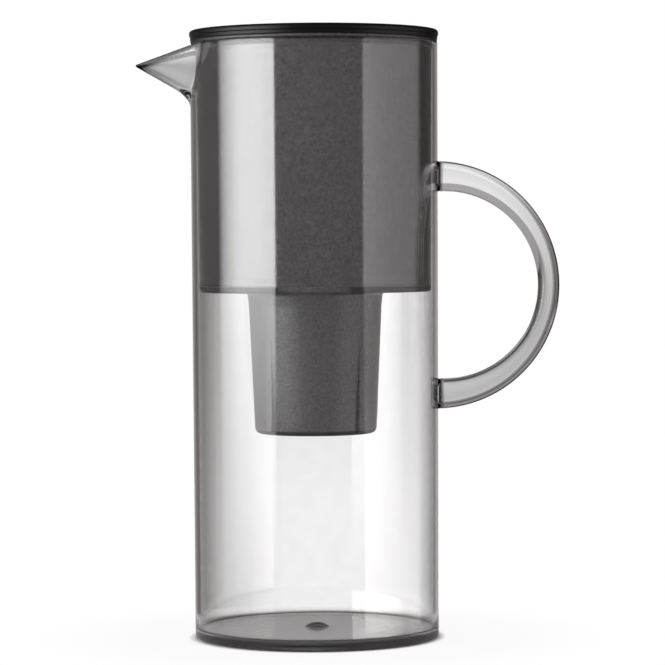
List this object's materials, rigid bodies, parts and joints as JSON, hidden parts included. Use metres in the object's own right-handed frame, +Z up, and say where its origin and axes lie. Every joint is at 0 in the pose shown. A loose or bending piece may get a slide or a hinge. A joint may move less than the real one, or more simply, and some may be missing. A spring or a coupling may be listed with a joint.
{
  "type": "water filter jug",
  "caption": "Tall clear smoke jug with a pointed beak and a hoop handle, a dark hopper hanging in its mouth, a filter cartridge in the hopper's socket and a flat black lid.",
  "frame": {"origin": "centre of the foot on the table, on the jug's axis", "axes": "+Z up along the jug's axis, -X towards the beak, +X towards the handle"},
  "size_m": [0.1977, 0.1164, 0.2837],
  "materials": {
    "clear_smoke": "clear plastic with a light smoke tint, polished",
    "dark_smoke": "see-through plastic with a dark smoke tint and a fine satin grain",
    "filter_shell": "moulded, satin",
    "seal": "soft, matt",
    "screen": "moulded, matt",
    "carbon": "loose grains, matt",
    "resin": "loose beads, satin",
    "fleece": "felted fibres",
    "black_satin": "moulded, satin"
  },
  "bodies": {
    "jug": {"jug_body": "clear_smoke", "handle": "clear_smoke"},
    "hopper": {"hopper": "dark_smoke"},
    "cartridge": {"cartridge_shell": "filter_shell", "cartridge_cap": "filter_shell", "cartridge_seal": "seal", "inlet_screen": "screen", "carbon_bed": "carbon", "middle_pad": "fleece", "resin_bed": "resin", "outlet_pad": "fleece", "outlet_screen": "screen"},
    "lid": {"lid_cover": "black_satin", "lid_liner": "black_satin", "lid_seal": "seal"}
  },
  "joints": [
    {"name": "hopper_lift", "type": "slide", "parent": "jug", "child": "hopper", "axis": [0, 0, 1], "range_m": [0, 0.19]},
    {"name": "cartridge_lift", "type": "slide", "parent": "hopper", "child": "cartridge", "axis": [0, 0, 1], "range_m": [0, 0.085]},
    {"name": "lid_lift", "type": "slide", "parent": "hopper", "child": "lid", "axis": [0, 0, 1], "range_m": [0, 0.08]}
  ]
}
